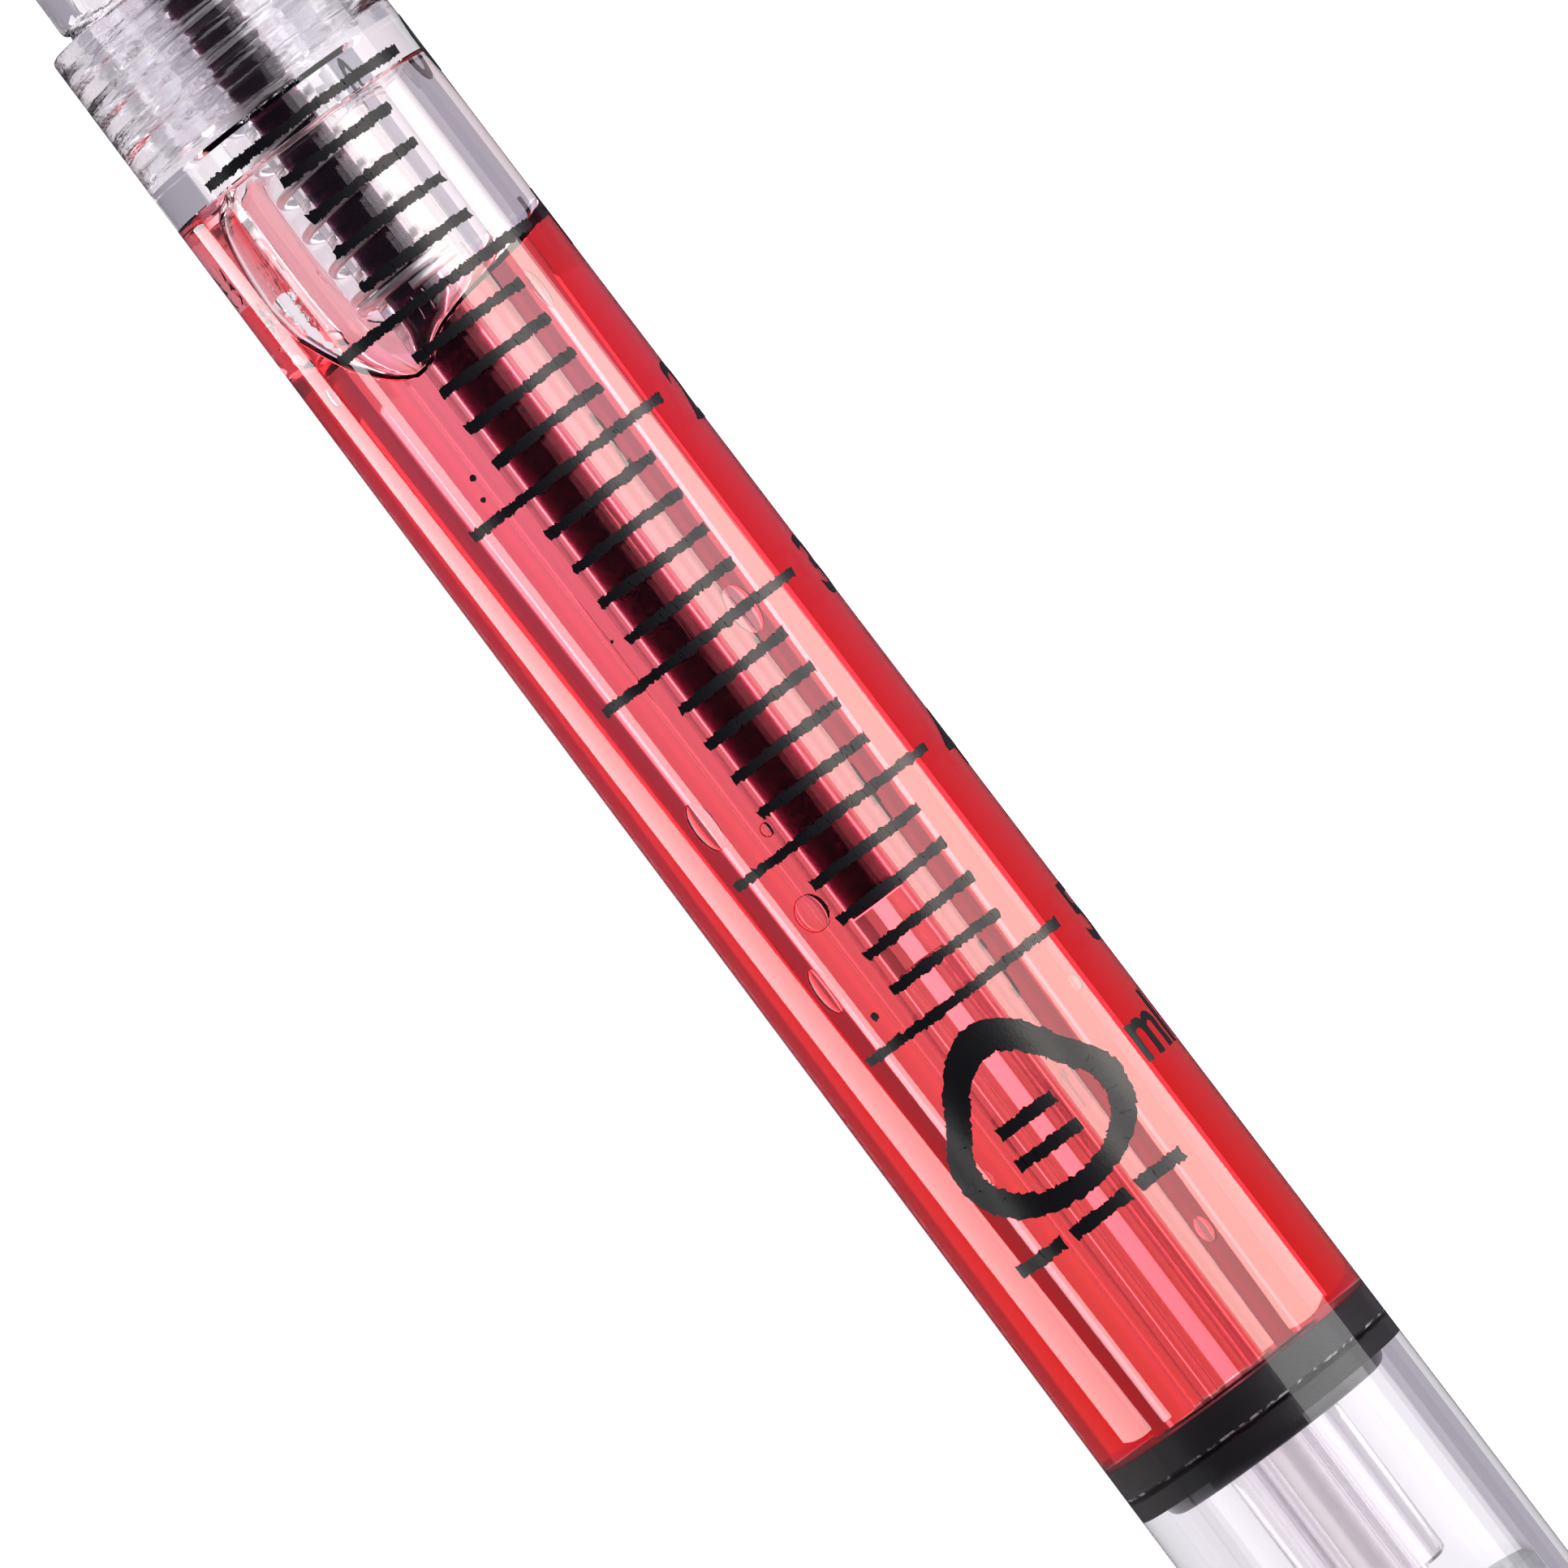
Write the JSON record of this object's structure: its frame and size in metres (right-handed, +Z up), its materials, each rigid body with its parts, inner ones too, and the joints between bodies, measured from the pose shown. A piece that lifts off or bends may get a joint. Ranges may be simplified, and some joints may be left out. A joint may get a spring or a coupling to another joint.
{
  "type": "ballpoint pen",
  "caption": "Clear syringe-shaped retractable ballpoint pen with red liquid in a ring chamber, a printed scale, finger wings and a thumb plate.",
  "frame": {"origin": "on the ground, below the middle of the pen's whole length", "axes": "+X along the pen towards the writing tip, +Y along the left finger wing, +Z up"},
  "size_m": [0.135, 0.026, 0.0125],
  "materials": {
    "clear_plastic": "clear moulded, polished outside",
    "red_liquid": "clear dyed liquid",
    "black_rubber": "moulded, slightly scuffed",
    "frosted_plastic": "frosted, pebbled",
    "white_plastic": "moulded",
    "spring_steel": "drawn wire, bright",
    "refill_plastic": "extruded, clear",
    "dark_ink": "ink paste",
    "clear_grease": "clear grease",
    "nickel": "turned, plated"
  },
  "bodies": {
    "barrel_body": {"barrel": "clear_plastic", "coloured_liquid": "red_liquid", "rear_seal": "black_rubber", "backing_seal": "black_rubber", "rear_plug": "frosted_plastic", "finger_flange": "clear_plastic", "cam_sleeve": "white_plastic", "end_ring": "white_plastic"},
    "nose_body": {"nose_cone": "clear_plastic", "return_spring": "spring_steel"},
    "plunger_body": {"plunger_rod": "clear_plastic", "thumb_plate": "clear_plastic", "click_crown": "white_plastic"},
    "refill_body": {"refill_tube": "refill_plastic", "ink_column": "dark_ink", "ink_follower": "clear_grease", "refill_point": "nickel"},
    "rotor_body": {"click_rotor": "white_plastic"},
    "ball_body": {"writing_ball": "spring_steel"}
  },
  "joints": [
    {"name": "nose_off", "type": "slide", "parent": "barrel_body", "child": "nose_body", "axis": [1, 0, 0], "range_m": [0, 0.034]},
    {"name": "plunger_push", "type": "slide", "parent": "barrel_body", "child": "plunger_body", "axis": [1, 0, 0], "range_m": [0, 0.005], "stiffness_N_per_m": 200, "springref_m": -0.008},
    {"name": "refill_advance", "type": "slide", "parent": "barrel_body", "child": "refill_body", "axis": [1, 0, 0], "range_m": [0, 0.005], "deforming": ["return_spring"]},
    {"name": "rotor_turn", "type": "hinge", "parent": "refill_body", "child": "rotor_body", "pos_m": [-0.0436, 0, 0.00627], "axis": [1, 0, 0], "range_deg": [0, 45]},
    {"name": "ball_roll", "type": "hinge", "parent": "refill_body", "child": "ball_body", "pos_m": [0.06554, 0, 0.00627], "axis": [0, 1, 0], "continuous": true}
  ],
  "couplings": [
    {"joint": "refill_advance", "follows": "plunger_push", "ratio": 1},
    {"joint": "rotor_turn", "follows": "plunger_push", "rad_per_m": 157}
  ]
}
